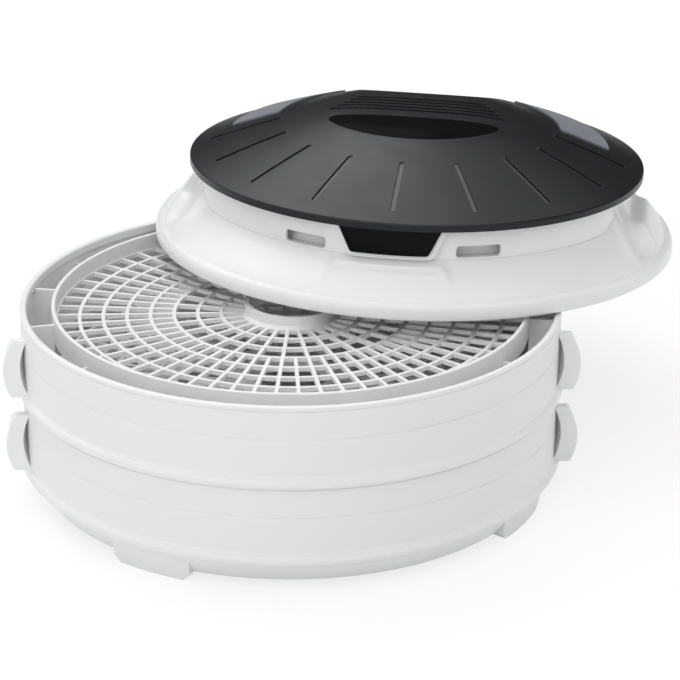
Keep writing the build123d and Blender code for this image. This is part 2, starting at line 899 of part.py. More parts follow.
write(right_grip.part, "right_grip", in_head)
write(left_grip.part, "left_grip", in_head)

# Air baffle: the floor of the head, with a guarded inlet in the middle and outlets over the air channel
baffle_radius = register_inner - seat_clearance
with BuildPart() as air_baffle:
    with BuildSketch(Plane.XY.offset(baffle_rise)) as baffle_face:
        Circle(baffle_radius)
        Circle(outlet_outer, mode=Mode.SUBTRACT)
        Circle(outlet_inner)
        with PolarLocations((outlet_inner + outlet_outer) / 2, outlet_count):
            Rectangle(outlet_outer - outlet_inner + 2 * guard_bar, outlet_bridge)
        Circle(inlet_radius, mode=Mode.SUBTRACT)
        with PolarLocations(inlet_radius / 2, guard_spokes):
            Rectangle(inlet_radius + guard_bar, guard_bar)
        Circle(inlet_radius / 2 + guard_bar)
        Circle(inlet_radius / 2, mode=Mode.SUBTRACT)
        with PolarLocations(inlet_radius / 4 + guard_bar, guard_spokes):
            Rectangle(inlet_radius / 2, guard_bar)
        Circle(2 * guard_bar)
    extrude(amount=baffle_wall)
    for boss_angle in boss_angles:
        with Locations((*polar(baffle_boss_circle, boss_angle), baffle_rise)):
            Cylinder(screw_radius + fit_gap, 4 * baffle_wall, mode=Mode.SUBTRACT)
            Cylinder(screw_head_radius + fit_gap, 2 * screw_head_height, mode=Mode.SUBTRACT)

write(air_baffle.part, "air_baffle", in_head)

# Screws of the baffle, the heat shield and the cover, all driven upwards
with BuildPart() as screw:
    Cylinder(screw_head_radius, screw_head_height, align=(Align.CENTER, Align.CENTER, Align.MIN))
    Cylinder(
        screw_radius,
        screw_head_height + screw_grip,
        align=(Align.CENTER, Align.CENTER, Align.MIN),
    )
    with BuildSketch(Plane.XY) as cross_slot:
        Rectangle(1.2 * screw_head_radius, screw_radius / 2)
        Rectangle(screw_radius / 2, 1.2 * screw_head_radius)
    extrude(amount=screw_head_height / 2, mode=Mode.SUBTRACT)


def screw_set(circle, angles, head_bottom):
    """Separate copies of the screw on a circle."""
    return Compound(
        children=[Location((*polar(circle, angle), head_bottom)) * screw.part.solid() for angle in angles]
    )


write(screw_set(baffle_boss_circle, boss_angles, baffle_rise), "baffle_screws", in_head)
shield_screw_low = shield_height - screw_head_height
write(screw_set(shield_boss_circle, shield_boss_angles, shield_screw_low), "shield_screws", in_head)
cover_screw_low = collar_top - wall - screw_head_height
write(screw_set(cover_boss_circle, cover_boss_angles, cover_screw_low), "cover_screws", in_head)

# Heat shield: a steel deck between the air path below and the motor space above
heater_end_angles = [90 - heater_gap_angle / 2, 90 + heater_gap_angle / 2]
motor_screw_places = [(0, -motor_screw_reach), (0, motor_screw_reach)]
with BuildPart() as heat_shield:
    with BuildSketch(Plane.XY.offset(shield_height)) as shield_face:
        add(flattened_disc(shield_radius, recess_reach - wall - shield_gap))
        Circle(2 * shaft_radius, mode=Mode.SUBTRACT)
        for boss_angle in shield_boss_angles:
            with Locations(polar(shield_boss_circle, boss_angle)):
                Circle(screw_radius + fit_gap, mode=Mode.SUBTRACT)
        for end_angle in heater_end_angles:
            with Locations(polar(heater_circle, end_angle)):
                Circle(heater_tube + fit_gap, mode=Mode.SUBTRACT)
        with Locations(*motor_screw_places):
            Circle(motor_screw_radius + fit_gap, mode=Mode.SUBTRACT)
    extrude(amount=shield_wall)

write(heat_shield.part, "heat_shield", in_head)

# Motor: a shaded-pole motor whose stack lies flat between two bearing brackets on rubber mounts
lower_bracket_low = shield_top + mount_height
core_low = lower_bracket_low + bracket_wall + bracket_leg
core_high = core_low + core_height
upper_bracket_low = core_high + bracket_leg
motor_top = upper_bracket_low + bracket_wall

with BuildPart() as motor_mounts:
    with BuildSketch(Plane.XY.offset(shield_top)) as mount_face:
        with Locations(*motor_screw_places):
            Circle(mount_radius)
            Circle(motor_screw_radius + fit_gap, mode=Mode.SUBTRACT)
    extrude(amount=mount_height)

write(motor_mounts.part, "motor_mounts", in_head)


def bearing_bracket(plate_low, legs_low):
    """A strip that holds one bearing, with two legs against the stack."""
    with BuildPart() as bracket:
        with BuildSketch(Plane.XY.offset(plate_low)) as strip:
            SlotCenterToCenter(2 * motor_screw_reach, bracket_width, rotation=90)
            Circle(bearing_radius, mode=Mode.SUBTRACT)
        extrude(amount=bracket_wall)
        with BuildSketch(Plane.XY.offset(legs_low)) as legs:
            with Locations(*motor_screw_places):
                Circle(mount_radius - air_gap)
        extrude(amount=bracket_leg)
        with BuildSketch(Plane.XY.offset(shield_top)) as holes:
            with Locations(*motor_screw_places):
                Circle(motor_screw_radius + fit_gap)
        extrude(amount=crown_height, mode=Mode.SUBTRACT)
    return bracket.part


write(bearing_bracket(lower_bracket_low, core_low - bracket_leg), "lower_bracket", in_head)
write(bearing_bracket(upper_bracket_low, core_high), "upper_bracket", in_head)

with BuildPart() as motor_bearings:
    for bearing_low in (lower_bracket_low, motor_top - bearing_height):
        with BuildSketch(Plane.XY.offset(bearing_low)) as bearing_face:
            Circle(bearing_radius)
            Circle(shaft_radius + running_gap, mode=Mode.SUBTRACT)
        extrude(amount=bearing_height)

write(motor_bearings.part, "motor_bearings", in_head)

with BuildPart() as motor_core:
    with BuildSketch(Plane.XY.offset(core_low)) as core_face:
        with Locations(((core_long - core_short) / 2, 0)):
            Rectangle(core_long + core_short, 2 * core_half_depth)
        Circle(rotor_radius + air_gap, mode=Mode.SUBTRACT)
        with Locations(((window_near + window_far) / 2, 0)):
            Rectangle(window_far - window_near, 2 * window_half, mode=Mode.SUBTRACT)
        with Locations(*motor_screw_places):
            Circle(motor_screw_radius + fit_gap, mode=Mode.SUBTRACT)
    extrude(amount=core_height)

write(motor_core.part, "motor_core", in_head)

leg_middle = (window_far + core_long) / 2
leg_width = core_long - window_far
core_middle = (core_low + core_high) / 2
with BuildPart() as motor_coil:
    with Locations((leg_middle, 0, core_middle)):
        Box(leg_width + 2 * coil_wall, 2 * (window_half - coil_gap), core_height + 2 * coil_wall)
        Box(leg_width + 2 * coil_gap, 4 * window_half, core_height + 2 * coil_gap, mode=Mode.SUBTRACT)
    fillet(motor_coil.edges().filter_by(Axis.Y).group_by(Axis.X)[-1], radius=coil_wall / 2)
    fillet(motor_coil.edges().filter_by(Axis.Y).group_by(Axis.X)[0], radius=coil_wall / 2)

write(motor_coil.part, "motor_coil", in_head)

nut_height = 1.6 * motor_screw_radius
with BuildPart() as motor_screws:
    for screw_place in motor_screw_places:
        with BuildSketch(Plane.XY.offset(shield_height - screw_head_height)) as motor_head:
            with Locations(screw_place):
                Circle(motor_screw_head)
        extrude(amount=screw_head_height)
        with BuildSketch(Plane.XY.offset(shield_height)) as motor_shank:
            with Locations(screw_place):
                Circle(motor_screw_radius)
        extrude(amount=motor_top - shield_height + nut_height)

write(motor_screws.part, "motor_screws", in_head)

with BuildPart() as motor_nuts:
    with BuildSketch(Plane.XY.offset(motor_top)) as nut_face:
        with Locations(*motor_screw_places):
            RegularPolygon(motor_screw_head, 6)
            Circle(motor_screw_radius, mode=Mode.SUBTRACT)
    extrude(amount=nut_height)

write(motor_nuts.part, "motor_nuts", in_head)

# Fan: the rotor and shaft, with a centrifugal impeller held by a push-on clip
with BuildPart() as motor_rotor:
    with BuildSketch(Plane.XY.offset(core_low)) as rotor_face:
        Circle(rotor_radius)
        Circle(shaft_radius, mode=Mode.SUBTRACT)
    extrude(amount=core_height)

write(motor_rotor.part, "motor_rotor", in_head)

with BuildPart() as motor_shaft:
    with BuildSketch(Plane.XY.offset(shaft_end)) as shaft_face:
        Circle(shaft_radius)
    extrude(amount=motor_top + shaft_radius - shaft_end)

write(motor_shaft.part, "motor_shaft", in_head)

with BuildPart() as impeller:
    with BuildSketch(Plane.XY.offset(impeller_high)) as plate_face:
        Circle(impeller_radius)
    extrude(amount=impeller_plate)
    with BuildSketch(Plane.XY.offset(impeller_low)) as blade_faces:
        with PolarLocations((blade_inner + impeller_radius) / 2, blade_count):
            Rectangle(impeller_radius - blade_inner, blade_thick, rotation=blade_lean)
        Circle(impeller_radius, mode=Mode.INTERSECT)
        Circle(fan_hub_radius)
    extrude(amount=impeller_high - impeller_low)
    with BuildSketch(Plane.XY.offset(impeller_low - impeller_plate / 2)) as shroud_face:
        Circle(impeller_radius)
        Circle(impeller_radius - fan_hub_radius, mode=Mode.SUBTRACT)
    extrude(amount=impeller_plate)
    with BuildSketch(Plane.XY) as impeller_bore:
        Circle(shaft_radius)
    extrude(amount=crown_height, mode=Mode.SUBTRACT)

write(impeller.part, "impeller", in_head)

with BuildPart() as fan_clip:
    with BuildSketch(Plane.XY.offset(impeller_low - clip_height)) as clip_face:
        Circle(clip_radius)
        Circle(shaft_radius, mode=Mode.SUBTRACT)
    extrude(amount=clip_height)

write(fan_clip.part, "fan_clip", in_head)

# Heater: a sheathed ring round the fan, clamped under the heat shield, with its ends passed up through it
with BuildPart() as heater_ring:
    with BuildSketch(upright_plane(heater_end_angles[1])) as tube_face:
        with Locations((heater_circle, heater_height)):
            Circle(heater_tube)
    revolve(axis=Axis.Z, revolution_arc=360 - heater_gap_angle)
    for end_angle in heater_end_angles:
        with BuildSketch(Plane.XY.offset(heater_height - heater_tube)) as end_face:
            with Locations(polar(heater_circle, end_angle)):
                Circle(heater_tube)
        extrude(amount=heater_end_height - heater_height + heater_tube)

write(heater_ring.part, "heater_ring", in_head)

with BuildPart() as heater_clamps:
    with BuildSketch(Plane.XY.offset(heater_height - clamp_depth / 2)) as clamp_faces:
        with PolarLocations(heater_circle, clamp_count, start_angle=-90):
            Rectangle(clamp_depth, clamp_wall)
    extrude(amount=shield_height - heater_height + clamp_depth / 2)
    with BuildSketch(Plane.XZ) as tube_room:
        with Locations((heater_circle, heater_height)):
            Circle(heater_tube + fit_gap)
    revolve(axis=Axis.Z, mode=Mode.SUBTRACT)

write(heater_clamps.part, "heater_clamps", in_head)

# Controls and wiring on the heat shield
with BuildPart() as thermostat:
    with BuildSketch(Plane.XY.offset(shield_top)) as thermostat_foot:
        with Locations(thermostat_place):
            Circle(thermostat_flange)
    extrude(amount=shield_wall)
    with BuildSketch(Plane.XY.offset(shield_top)) as thermostat_face:
        with Locations(thermostat_place):
            Circle(thermostat_radius)
    extrude(amount=thermostat_height)

write(thermostat.part, "thermostat", in_head)

with BuildPart() as thermal_fuse:
    with Locations((*fuse_place, shield_top)):
        Box(fuse_length / 2, 3 * fuse_radius, fuse_radius, align=(Align.CENTER, Align.CENTER, Align.MIN))
    with Locations((*fuse_place, shield_top + 1.5 * fuse_radius)):
        Cylinder(fuse_radius, fuse_length, rotation=(0, 90, 0))

write(thermal_fuse.part, "thermal_fuse", in_head)

with BuildPart() as terminal_block:
    with Locations((0, terminal_place, shield_top)):
        Box(
            terminal_length,
            terminal_depth,
            terminal_height,
            align=(Align.CENTER, Align.CENTER, Align.MIN),
        )
    with Locations((0, terminal_place + terminal_depth / 4, shield_top + terminal_height)):
        with GridLocations(terminal_length / 3, 1, 3, 1):
            Cylinder(terminal_depth / 6, terminal_height, mode=Mode.SUBTRACT)

write(terminal_block.part, "terminal_block", in_head)

terminal_face = terminal_place - terminal_depth / 2
terminal_top = shield_top + terminal_height
wire_top = terminal_top + wire_lift
right_end = polar(heater_circle, heater_end_angles[0])
left_end = polar(heater_circle, heater_end_angles[1])
coil_face = window_half - coil_gap
coil_high = core_high + coil_wall / 2
wire_paths = [
    [
        (terminal_length / 3, terminal_face, shield_top + terminal_height / 2),
        (terminal_length / 3, terminal_face - 3 * wire_bend, shield_top + terminal_height / 2),
        (leg_middle, coil_face + 3 * wire_bend, coil_high),
        (leg_middle, coil_face, coil_high),
    ],
    [
        (-terminal_length / 3, terminal_face, shield_top + terminal_height / 2),
        (-terminal_length / 3, terminal_face - 2 * wire_bend, shield_top + terminal_height / 2),
        (*thermostat_place, wire_top),
        (*thermostat_place, shield_top + thermostat_height),
    ],
    [
        (*right_end, heater_end_height),
        (*right_end, wire_top),
        (0, terminal_place - terminal_depth / 4, wire_top),
        (0, terminal_place - terminal_depth / 4, terminal_top),
    ],
    [
        (*left_end, heater_end_height),
        (*left_end, wire_top + 2 * wire_bend),
        (*fuse_place, wire_top + 2 * wire_bend),
        (*fuse_place, shield_top + 2.5 * fuse_radius),
    ],
]
with BuildPart() as lead_wires:
    for points in wire_paths:
        with BuildLine() as wire_path:
            FilletPolyline(*points, radius=wire_bend)
        with BuildSketch(Plane(origin=wire_path.line @ 0, z_dir=wire_path.line % 0)) as wire_face:
            Circle(wire_radius)
        sweep(path=wire_path.line)

write(lead_wires.part, "lead_wires", in_head)

# Cord inlet: a bush in the back of the collar
with BuildPart() as cord_inlet:
    with BuildSketch(Plane.XZ.offset(-collar_radius - inlet_flange_wall)) as inlet_face:
        with Locations((0, inlet_height)):
            Circle(inlet_flange)
    extrude(amount=2 * inlet_flange_wall)
    with BuildSketch(Plane.XY) as collar_plug:
        Circle(collar_radius)
    extrude(amount=crown_height, mode=Mode.SUBTRACT)
    with BuildSketch(Plane.XZ.offset(-collar_radius - inlet_flange_wall)) as neck_face:
        with Locations((0, inlet_height)):
            Circle(inlet_neck)
    extrude(amount=inlet_flange_wall + 2 * wall)
    with BuildSketch(Plane.XZ.offset(-collar_radius - inlet_flange_wall)) as bore_face:
        with Locations((0, inlet_height)):
            Circle(inlet_bore)
    extrude(amount=inlet_flange_wall + 4 * wall, mode=Mode.SUBTRACT)

write(cord_inlet.part, "cord_inlet", in_head)
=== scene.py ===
import json
from math import atan, cos, degrees, pi, radians, sin

import bpy
from mathutils import Matrix, Quaternion, Vector


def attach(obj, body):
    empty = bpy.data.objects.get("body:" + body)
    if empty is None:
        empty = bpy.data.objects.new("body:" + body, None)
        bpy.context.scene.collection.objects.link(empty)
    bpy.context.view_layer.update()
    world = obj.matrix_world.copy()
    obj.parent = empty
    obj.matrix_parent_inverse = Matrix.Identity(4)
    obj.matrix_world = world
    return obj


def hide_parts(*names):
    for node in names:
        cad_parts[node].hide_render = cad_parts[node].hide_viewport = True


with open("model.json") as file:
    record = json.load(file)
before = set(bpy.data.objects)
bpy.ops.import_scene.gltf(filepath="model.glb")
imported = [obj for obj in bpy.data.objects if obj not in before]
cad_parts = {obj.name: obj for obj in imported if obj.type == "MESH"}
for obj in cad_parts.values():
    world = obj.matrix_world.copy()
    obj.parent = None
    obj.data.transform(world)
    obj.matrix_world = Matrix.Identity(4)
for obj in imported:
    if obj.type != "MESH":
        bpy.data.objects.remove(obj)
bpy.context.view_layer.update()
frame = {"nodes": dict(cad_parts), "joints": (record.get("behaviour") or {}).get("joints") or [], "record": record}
nodes = frame["nodes"]
scene = bpy.context.scene


# Node helpers, shared by the materials, the floor and the world
def new_material(name):
    """A node material with its tree and principled shader."""
    material = bpy.data.materials.new(name)
    material.use_nodes = True
    tree = material.node_tree
    tree.nodes.clear()
    output = tree.nodes.new("ShaderNodeOutputMaterial")
    shader = tree.nodes.new("ShaderNodeBsdfPrincipled")
    tree.links.new(shader.outputs["BSDF"], output.inputs["Surface"])
    return material, tree, shader


def fill_socket(tree, socket, value):
    """Link an output to a socket, or set the socket to a number or a colour."""
    if isinstance(value, bpy.types.NodeSocket):
        tree.links.new(value, socket)
    elif isinstance(value, tuple):
        socket.default_value = (*value, 1)
    else:
        socket.default_value = value


def object_coords(tree):
    """The place on the object, in metres."""
    return tree.nodes.new("ShaderNodeTexCoord").outputs["Object"]


def math_node(tree, operation, first, second=0.0):
    """A math node on two values, each of them an output or a number."""
    node = tree.nodes.new("ShaderNodeMath")
    node.operation = operation
    fill_socket(tree, node.inputs[0], first)
    fill_socket(tree, node.inputs[1], second)
    return node.outputs["Value"]


def map_range(tree, value, source, target):
    """A map range node from one pair of limits to another, and its result."""
    node = tree.nodes.new("ShaderNodeMapRange")
    node.inputs["From Min"].default_value, node.inputs["From Max"].default_value = source
    node.inputs["To Min"].default_value, node.inputs["To Max"].default_value = target
    tree.links.new(value, node.inputs["Value"])
    return node, node.outputs["Result"]


def mix_colours(tree, factor, first, second):
    """A colour that goes from first to second with a factor."""
    node = tree.nodes.new("ShaderNodeMix")
    node.data_type = "RGBA"
    fill_socket(tree, node.inputs["A"], first)
    fill_socket(tree, node.inputs["B"], second)
    tree.links.new(factor, node.inputs["Factor"])
    return node.outputs["Result"]


def mix_shaders(tree, factor, first, second):
    """A shader that goes from first to second with a factor."""
    node = tree.nodes.new("ShaderNodeMixShader")
    for socket, source in zip(node.inputs, (factor, first, second)):
        tree.links.new(source, socket)
    return node.outputs["Shader"]


def noise(tree, coords, scale, detail):
    """A noise texture at a scale per metre."""
    texture = tree.nodes.new("ShaderNodeTexNoise")
    texture.inputs["Scale"].default_value = scale
    texture.inputs["Detail"].default_value = detail
    tree.links.new(coords, texture.inputs["Vector"])
    return texture.outputs["Fac"]


# Materials: every one is procedural, in metres, in object coordinates
NOISE_MIDDLE = (0.3, 0.7)
CLOUD_SCALE, CLOUD_DETAIL = 14.0, 3.0
GLOSS_SCALE, GLOSS_DETAIL = 60.0, 4.0
GLOSS_SPREAD = (0.9, 1.1)
GRAIN_DETAIL = 2.0
GRAIN_HEIGHT = 0.0004
STREAK_SCALE, STREAK_DETAIL = 90.0, 4.0
STREAK_STRETCH = (1.0, 12.0, 12.0)
STREAK_SHADES = (0.88, 1.08)
STREAK_SPREAD = (0.8, 1.25)


def shade(colour, share):
    """A colour made darker or lighter by a share, at most white."""
    return tuple(min(channel * share, 1.0) for channel in colour)


def uneven_gloss(tree, shader, value, rough, limits):
    """Let the roughness go with a noise, between two shares of its level."""
    result = map_range(tree, value, NOISE_MIDDLE, (rough * limits[0], rough * limits[1]))[1]
    tree.links.new(result, shader.inputs["Roughness"])


def plastic(name, colour, rough, grain=2200.0, relief=0.05, mottle=0.02, specular=0.5):
    """Moulded plastic: faint cloudiness in the colour, uneven gloss, and a fine spark-eroded grain."""
    material, tree, shader = new_material(name)
    coords = object_coords(tree)
    cloud = noise(tree, coords, CLOUD_SCALE, CLOUD_DETAIL)
    tint = mix_colours(tree, cloud, shade(colour, 1 - mottle), shade(colour, 1 + mottle))
    tree.links.new(tint, shader.inputs["Base Color"])
    uneven_gloss(tree, shader, noise(tree, coords, GLOSS_SCALE, GLOSS_DETAIL), rough, GLOSS_SPREAD)
    bump = tree.nodes.new("ShaderNodeBump")
    bump.inputs["Strength"].default_value = relief
    bump.inputs["Distance"].default_value = GRAIN_HEIGHT
    tree.links.new(noise(tree, coords, grain, GRAIN_DETAIL), bump.inputs["Height"])
    tree.links.new(bump.outputs["Normal"], shader.inputs["Normal"])
    shader.inputs["Specular IOR Level"].default_value = specular
    return material


def metal(name, colour, rough):
    """Metal with rolled streaks in its colour and gloss."""
    material, tree, shader = new_material(name)
    stretch = tree.nodes.new("ShaderNodeMapping")
    stretch.inputs["Scale"].default_value = STREAK_STRETCH
    tree.links.new(object_coords(tree), stretch.inputs["Vector"])
    streaks = noise(tree, stretch.outputs["Vector"], STREAK_SCALE, STREAK_DETAIL)
    dark, light = STREAK_SHADES
    tint = mix_colours(tree, streaks, shade(colour, dark), shade(colour, light))
    tree.links.new(tint, shader.inputs["Base Color"])
    uneven_gloss(tree, shader, streaks, rough, STREAK_SPREAD)
    shader.inputs["Metallic"].default_value = 1.0
    return material


WHITE = (0.885, 0.9, 0.895)
materials = {
    "white_body": plastic("white_body", WHITE, 0.4, relief=0.03, mottle=0.008),
    "white_gloss": plastic("white_gloss", WHITE, 0.32, relief=0.006, mottle=0.006),
    "charcoal": plastic("charcoal", (0.0125, 0.0125, 0.0135), 0.34, relief=0.12, mottle=0.05, specular=0.29),
    "grip_grey": plastic("grip_grey", (0.19, 0.205, 0.23), 0.55, relief=0.15, mottle=0.03),
    "black_gloss": plastic("black_gloss", (0.006, 0.006, 0.007), 0.14, relief=0.0, mottle=0.03, specular=0.06),
    "plate_black": plastic("plate_black", (0.007, 0.007, 0.0075), 0.2, relief=0.0, mottle=0.03, specular=0.008),
    "grey_plastic": plastic("grey_plastic", (0.3, 0.3, 0.31), 0.5, relief=0.06, mottle=0.03),
    "zinc_steel": metal("zinc_steel", (0.6, 0.6, 0.6), 0.38),
    "bright_steel": metal("bright_steel", (0.66, 0.66, 0.65), 0.36),
    "bearing_bronze": metal("bearing_bronze", (0.55, 0.38, 0.2), 0.42),
    "core_iron": metal("core_iron", (0.22, 0.22, 0.23), 0.55),
    "coil_tape": plastic("coil_tape", (0.7, 0.5, 0.1), 0.4, grain=900.0, relief=0.2, mottle=0.06),
    "bakelite": plastic("bakelite", (0.05, 0.04, 0.035), 0.35, relief=0.05, mottle=0.06),
    "wire_sleeve": plastic("wire_sleeve", (0.5, 0.06, 0.05), 0.45, relief=0.05, mottle=0.05),
    "black_rubber": plastic("black_rubber", (0.03, 0.03, 0.03), 0.6, relief=0.15, mottle=0.05),
}
for part in frame["record"]["subparts"]:
    mesh = nodes[part["node"]].data
    mesh.materials.clear()
    mesh.materials.append(materials[part["material_slot"]])
nodes["nameplate"].data.materials[0] = materials["plate_black"]

# The head's own frame: its pieces are made upright on its axis, in millimetres, and set down with it
HEAD_BEARING = 53.8
HEAD_TURN = -11.1
MM = 0.001
spin = next(joint for joint in frame["joints"] if joint["name"] == "fan_spin")
lean_axis = Vector((-sin(radians(HEAD_BEARING)), cos(radians(HEAD_BEARING)), 0))
lean = Quaternion(lean_axis, Vector((0, 0, 1)).angle(Vector(spin["axis"])))
yaw = Quaternion((0, 0, 1), radians(HEAD_TURN))
head_frame = Matrix.Translation(spin["pos_m"]) @ (lean @ yaw).to_matrix().to_4x4() @ Matrix.Scale(MM, 4)

# The cover: a cool sheen, and groove floors painted lighter than the grained skin, a painted highlight in place of
# the light they catch
GROOVE_PITCH = 21.4
GROOVE_INNER = 88.0
GROOVE_OUTER = 135.5
GROOVE_HALF = 1.4
GROOVE_PAINTED_HIGHLIGHT = (0.09, 0.09, 0.095)
COVER_SHEEN = (0.88, 0.92, 1.0)


def painted_groove_highlight_mask(tree):
    """1 on the floors of the cover's radial grooves, where the painted highlight goes, by the place in the head's
    own frame.
    """
    place, turn, scale = head_frame.inverted().decompose()
    local = tree.nodes.new("ShaderNodeMapping")
    local.inputs["Location"].default_value = place
    local.inputs["Rotation"].default_value = turn.to_euler()
    local.inputs["Scale"].default_value = scale
    tree.links.new(object_coords(tree), local.inputs["Vector"])
    axes = tree.nodes.new("ShaderNodeSeparateXYZ")
    tree.links.new(local.outputs["Vector"], axes.inputs["Vector"])
    across, along = axes.outputs["X"], axes.outputs["Y"]
    squares = [math_node(tree, "POWER", axis, 2) for axis in (across, along)]
    radius = math_node(tree, "SQRT", math_node(tree, "ADD", *squares))
    bearing = math_node(tree, "ARCTAN2", across, math_node(tree, "MULTIPLY", along, -1))
    steps = math_node(tree, "DIVIDE", bearing, radians(GROOVE_PITCH))
    nearest = math_node(tree, "ROUND", steps)
    apart = math_node(tree, "ABSOLUTE", math_node(tree, "SUBTRACT", steps, nearest))
    aside = math_node(tree, "MULTIPLY", math_node(tree, "MULTIPLY", apart, radians(GROOVE_PITCH)), radius)
    mask = math_node(tree, "LESS_THAN", aside, GROOVE_HALF)
    for test in (
        math_node(tree, "GREATER_THAN", radius, GROOVE_INNER),
        math_node(tree, "LESS_THAN", radius, GROOVE_OUTER),
        math_node(tree, "LESS_THAN", along, 0),
    ):
        mask = math_node(tree, "MULTIPLY", mask, test)
    return mask


cover_tree = materials["charcoal"].node_tree
cover_shader = next(node for node in cover_tree.nodes if node.type == "BSDF_PRINCIPLED")
cover_shader.inputs["Specular Tint"].default_value = (*COVER_SHEEN, 1)
skin_colour = cover_shader.inputs["Base Color"].links[0].from_socket
# Painted highlight: the groove floors get a lighter base colour that stands in for the light they catch
cover_colour_with_painted_highlight = mix_colours(cover_tree, painted_groove_highlight_mask(cover_tree), skin_colour, GROOVE_PAINTED_HIGHLIGHT)
cover_tree.links.new(cover_colour_with_painted_highlight, cover_shader.inputs["Base Color"])


def smooth_step(value, low, high):
    """0 below low, 1 above high, and an even turn between."""
    share = min(max((value - low) / (high - low), 0.0), 1.0)
    return share * share * (3 - 2 * share)


def blend_points(first, second, share):
    """A point that goes from first to second with a share."""
    return tuple(a + share * (b - a) for a, b in zip(first, second))


def catmull_rom(a, b, c, d, t):
    """The value at t on the stretch from b to c of a Catmull-Rom curve."""
    square = (2 * a - 5 * b + 4 * c - d) * t * t
    cube = (3 * b - a - 3 * c + d) * t * t * t
    return 0.5 * (2 * b + (c - a) * t + square + cube)


def curve_through(points, steps):
    """Points on a smooth curve through the given (radius, height) points."""
    ends = [points[0]] + list(points) + [points[-1]]
    line = []
    for corners in zip(ends, ends[1:], ends[2:], ends[3:]):
        for step in range(steps):
            line.append(tuple(catmull_rom(*values, step / steps) for values in zip(*corners)))
    line.append(points[-1])
    return line


def closed_lathe(name, rings, place, sharp_angle):
    """A closed mesh from loops of points, one loop for each angle round the axis."""
    count = len(rings[0])
    faces = []
    for turn in range(len(rings)):
        here = turn * count
        following = (turn + 1) % len(rings) * count
        for row in range(count):
            after = (row + 1) % count
            faces.append((here + row, here + after, following + after, following + row))
    mesh = bpy.data.meshes.new(name)
    mesh.from_pydata([point for ring in rings for point in ring], [], faces)
    mesh.transform(place)
    mesh.polygons.foreach_set("use_smooth", [True] * len(mesh.polygons))
    mesh.set_sharp_from_angle(angle=radians(sharp_angle))
    mesh.validate()
    mesh.update()
    piece = bpy.data.objects.new(name, mesh)
    scene.collection.objects.link(piece)
    return piece


# Flange shell: the glossy skirt, with a cove at the collar, soft finger recesses, a pad and a rolled bead
COLLAR_RADIUS = 141.0
COLLAR_BASE = 28.0
FLAT_SIDE = 130.0
FLANGE_TURNS = 360
SLOPE_STEPS = 3
SHARP_ANGLE = 40.0
PAD_MIDDLE = 270.0
PAD_LIMITS = (11.9, 15.1)
RECESS_LIMITS = (24.0, 42.0)
SHOULDER_LIMITS = (44.0, 66.0)
# SLOPE, PAD, SHOULDER and RECESS are (distance from the collar, height), from the collar down to the bead
SLOPE = [
    (0.05, 27.8), (0.6, 27.7), (1.7, 26.5), (4.0, 24.1), (7.4, 21.3),
    (11.0, 18.4), (14.5, 15.6), (18.0, 12.7), (20.4, 10.5), (21.9, 9.0),
]
PAD = [
    (0.05, 27.8), (1.2, 27.6), (3.4, 27.0), (6.0, 26.4), (7.8, 25.9),
    (8.7, 25.0), (9.2, 23.2), (10.6, 19.6), (20.4, 10.5), (21.9, 9.0),
]
SHOULDER = [
    (0.05, 42.0), (0.9, 39.8), (2.1, 36.9), (4.3, 32.7), (7.4, 27.8),
    (11.0, 22.8), (14.5, 18.4), (18.0, 14.0), (20.4, 10.9), (21.9, 9.0),
]
RECESS = [
    (5.0, 42.0), (6.0, 38.0), (7.6, 33.2), (10.2, 28.8), (13.4, 26.0),
    (16.6, 25.0), (19.4, 24.6), (22.0, 22.6), (27.5, 15.6), (32.9, 9.0),
]
# BEAD and INNER are (radius, height): over the bead, round the register, and back inside to the collar
BEAD = [
    (163.3, 8.2), (163.9, 8.0), (164.6, 8.15), (165.6, 8.1), (166.8, 7.4), (167.9, 6.0),
    (168.6, 4.2), (168.95, 2.2), (169.0, 0.4), (168.9, -0.6), (168.4, -1.3), (167.8, -1.5),
    (167.0, -1.5), (166.6, -1.1), (166.5, 0.0), (160.5, 0.0), (160.5, -2.1), (160.2, -2.4),
    (158.3, -2.4), (158.0, -2.1), (158.0, 2.5), (161.7, 2.5), (161.7, 6.1),
]
INNER = [(157.0, 9.6), (148.0, 14.6), (126.0, 17.0), (126.0, 25.5), (127.5, COLLAR_BASE)]
# The shell's edge lies this far below the collar's foot, and its skin this far beside and above the edge
EDGE_DROP = 0.1
SKIN_ASIDE, SKIN_ABOVE = 0.02, 0.04
flange_rings = []
for turn in range(FLANGE_TURNS):
    angle = 2 * pi * turn / FLANGE_TURNS
    ray = (cos(angle), sin(angle))
    collar_edge = min(COLLAR_RADIUS, FLAT_SIDE / max(abs(ray[0]), 1e-6))
    sideways = abs(COLLAR_RADIUS * ray[1])
    recess = 1 - smooth_step(sideways, *RECESS_LIMITS)
    shoulder = 1 - smooth_step(sideways, *SHOULDER_LIMITS)
    pad = 1 - smooth_step(abs(degrees(angle) - PAD_MIDDLE), *PAD_LIMITS)
    top = []
    for plain, raised, steep, sunk in zip(SLOPE, PAD, SHOULDER, RECESS):
        out = plain[0] + pad * (raised[0] - plain[0]) + shoulder * (steep[0] - plain[0])
        height = plain[1] + pad * (raised[1] - plain[1]) + shoulder * (steep[1] - plain[1])
        out, height = blend_points((out, height), sunk, recess)
        top.append((collar_edge + out, height))
    top[-1] = (COLLAR_RADIUS + SLOPE[-1][0], SLOPE[-1][1])
    closing = [(collar_edge, COLLAR_BASE - EDGE_DROP), (collar_edge + SKIN_ASIDE, top[0][1] + SKIN_ABOVE)]
    loop = curve_through(top, SLOPE_STEPS) + BEAD + INNER + closing
    flange_rings.append([(radius * ray[0], radius * ray[1], height) for radius, height in loop])
flange = closed_lathe("flange_shell", flange_rings, head_frame, SHARP_ANGLE)
flange.data.materials.append(materials["white_gloss"])
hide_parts("cover_flange")
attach(flange, "power_head")


